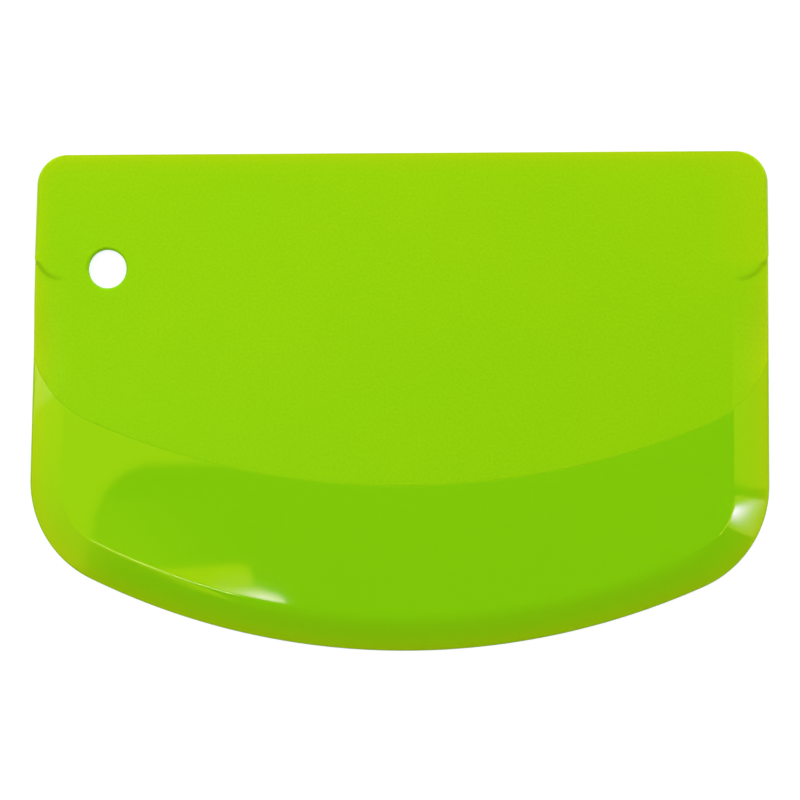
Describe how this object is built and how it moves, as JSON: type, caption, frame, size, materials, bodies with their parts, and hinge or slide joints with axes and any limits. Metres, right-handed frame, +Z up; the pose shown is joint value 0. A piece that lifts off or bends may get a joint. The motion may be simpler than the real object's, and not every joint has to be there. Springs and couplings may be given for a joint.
{
  "type": "dough scraper",
  "caption": "Flat moulded plastic dough scraper with a matte grip zone, a round hanging hole and a polished blade with a bowed, bevelled edge for dividing dough and clearing bowls.",
  "frame": {"origin": "under the middle of the scraper's box, on the flat back that it lies on", "axes": "+X across the scraper, to the right with the front up and the grip away from the viewer; +Y from the working edge towards the grip's upper edge; +Z up, out of the bevelled front"},
  "size_m": [0.148, 0.0988, 0.002],
  "materials": {
    "textured_plastic": "lime-green polypropylene with a fine matte texture from the mould",
    "polished_plastic": "the same lime-green polypropylene from a polished mould face, glossy"
  },
  "bodies": {
    "root": {"grip": "textured_plastic", "blade": "polished_plastic"}
  },
  "joints": []
}
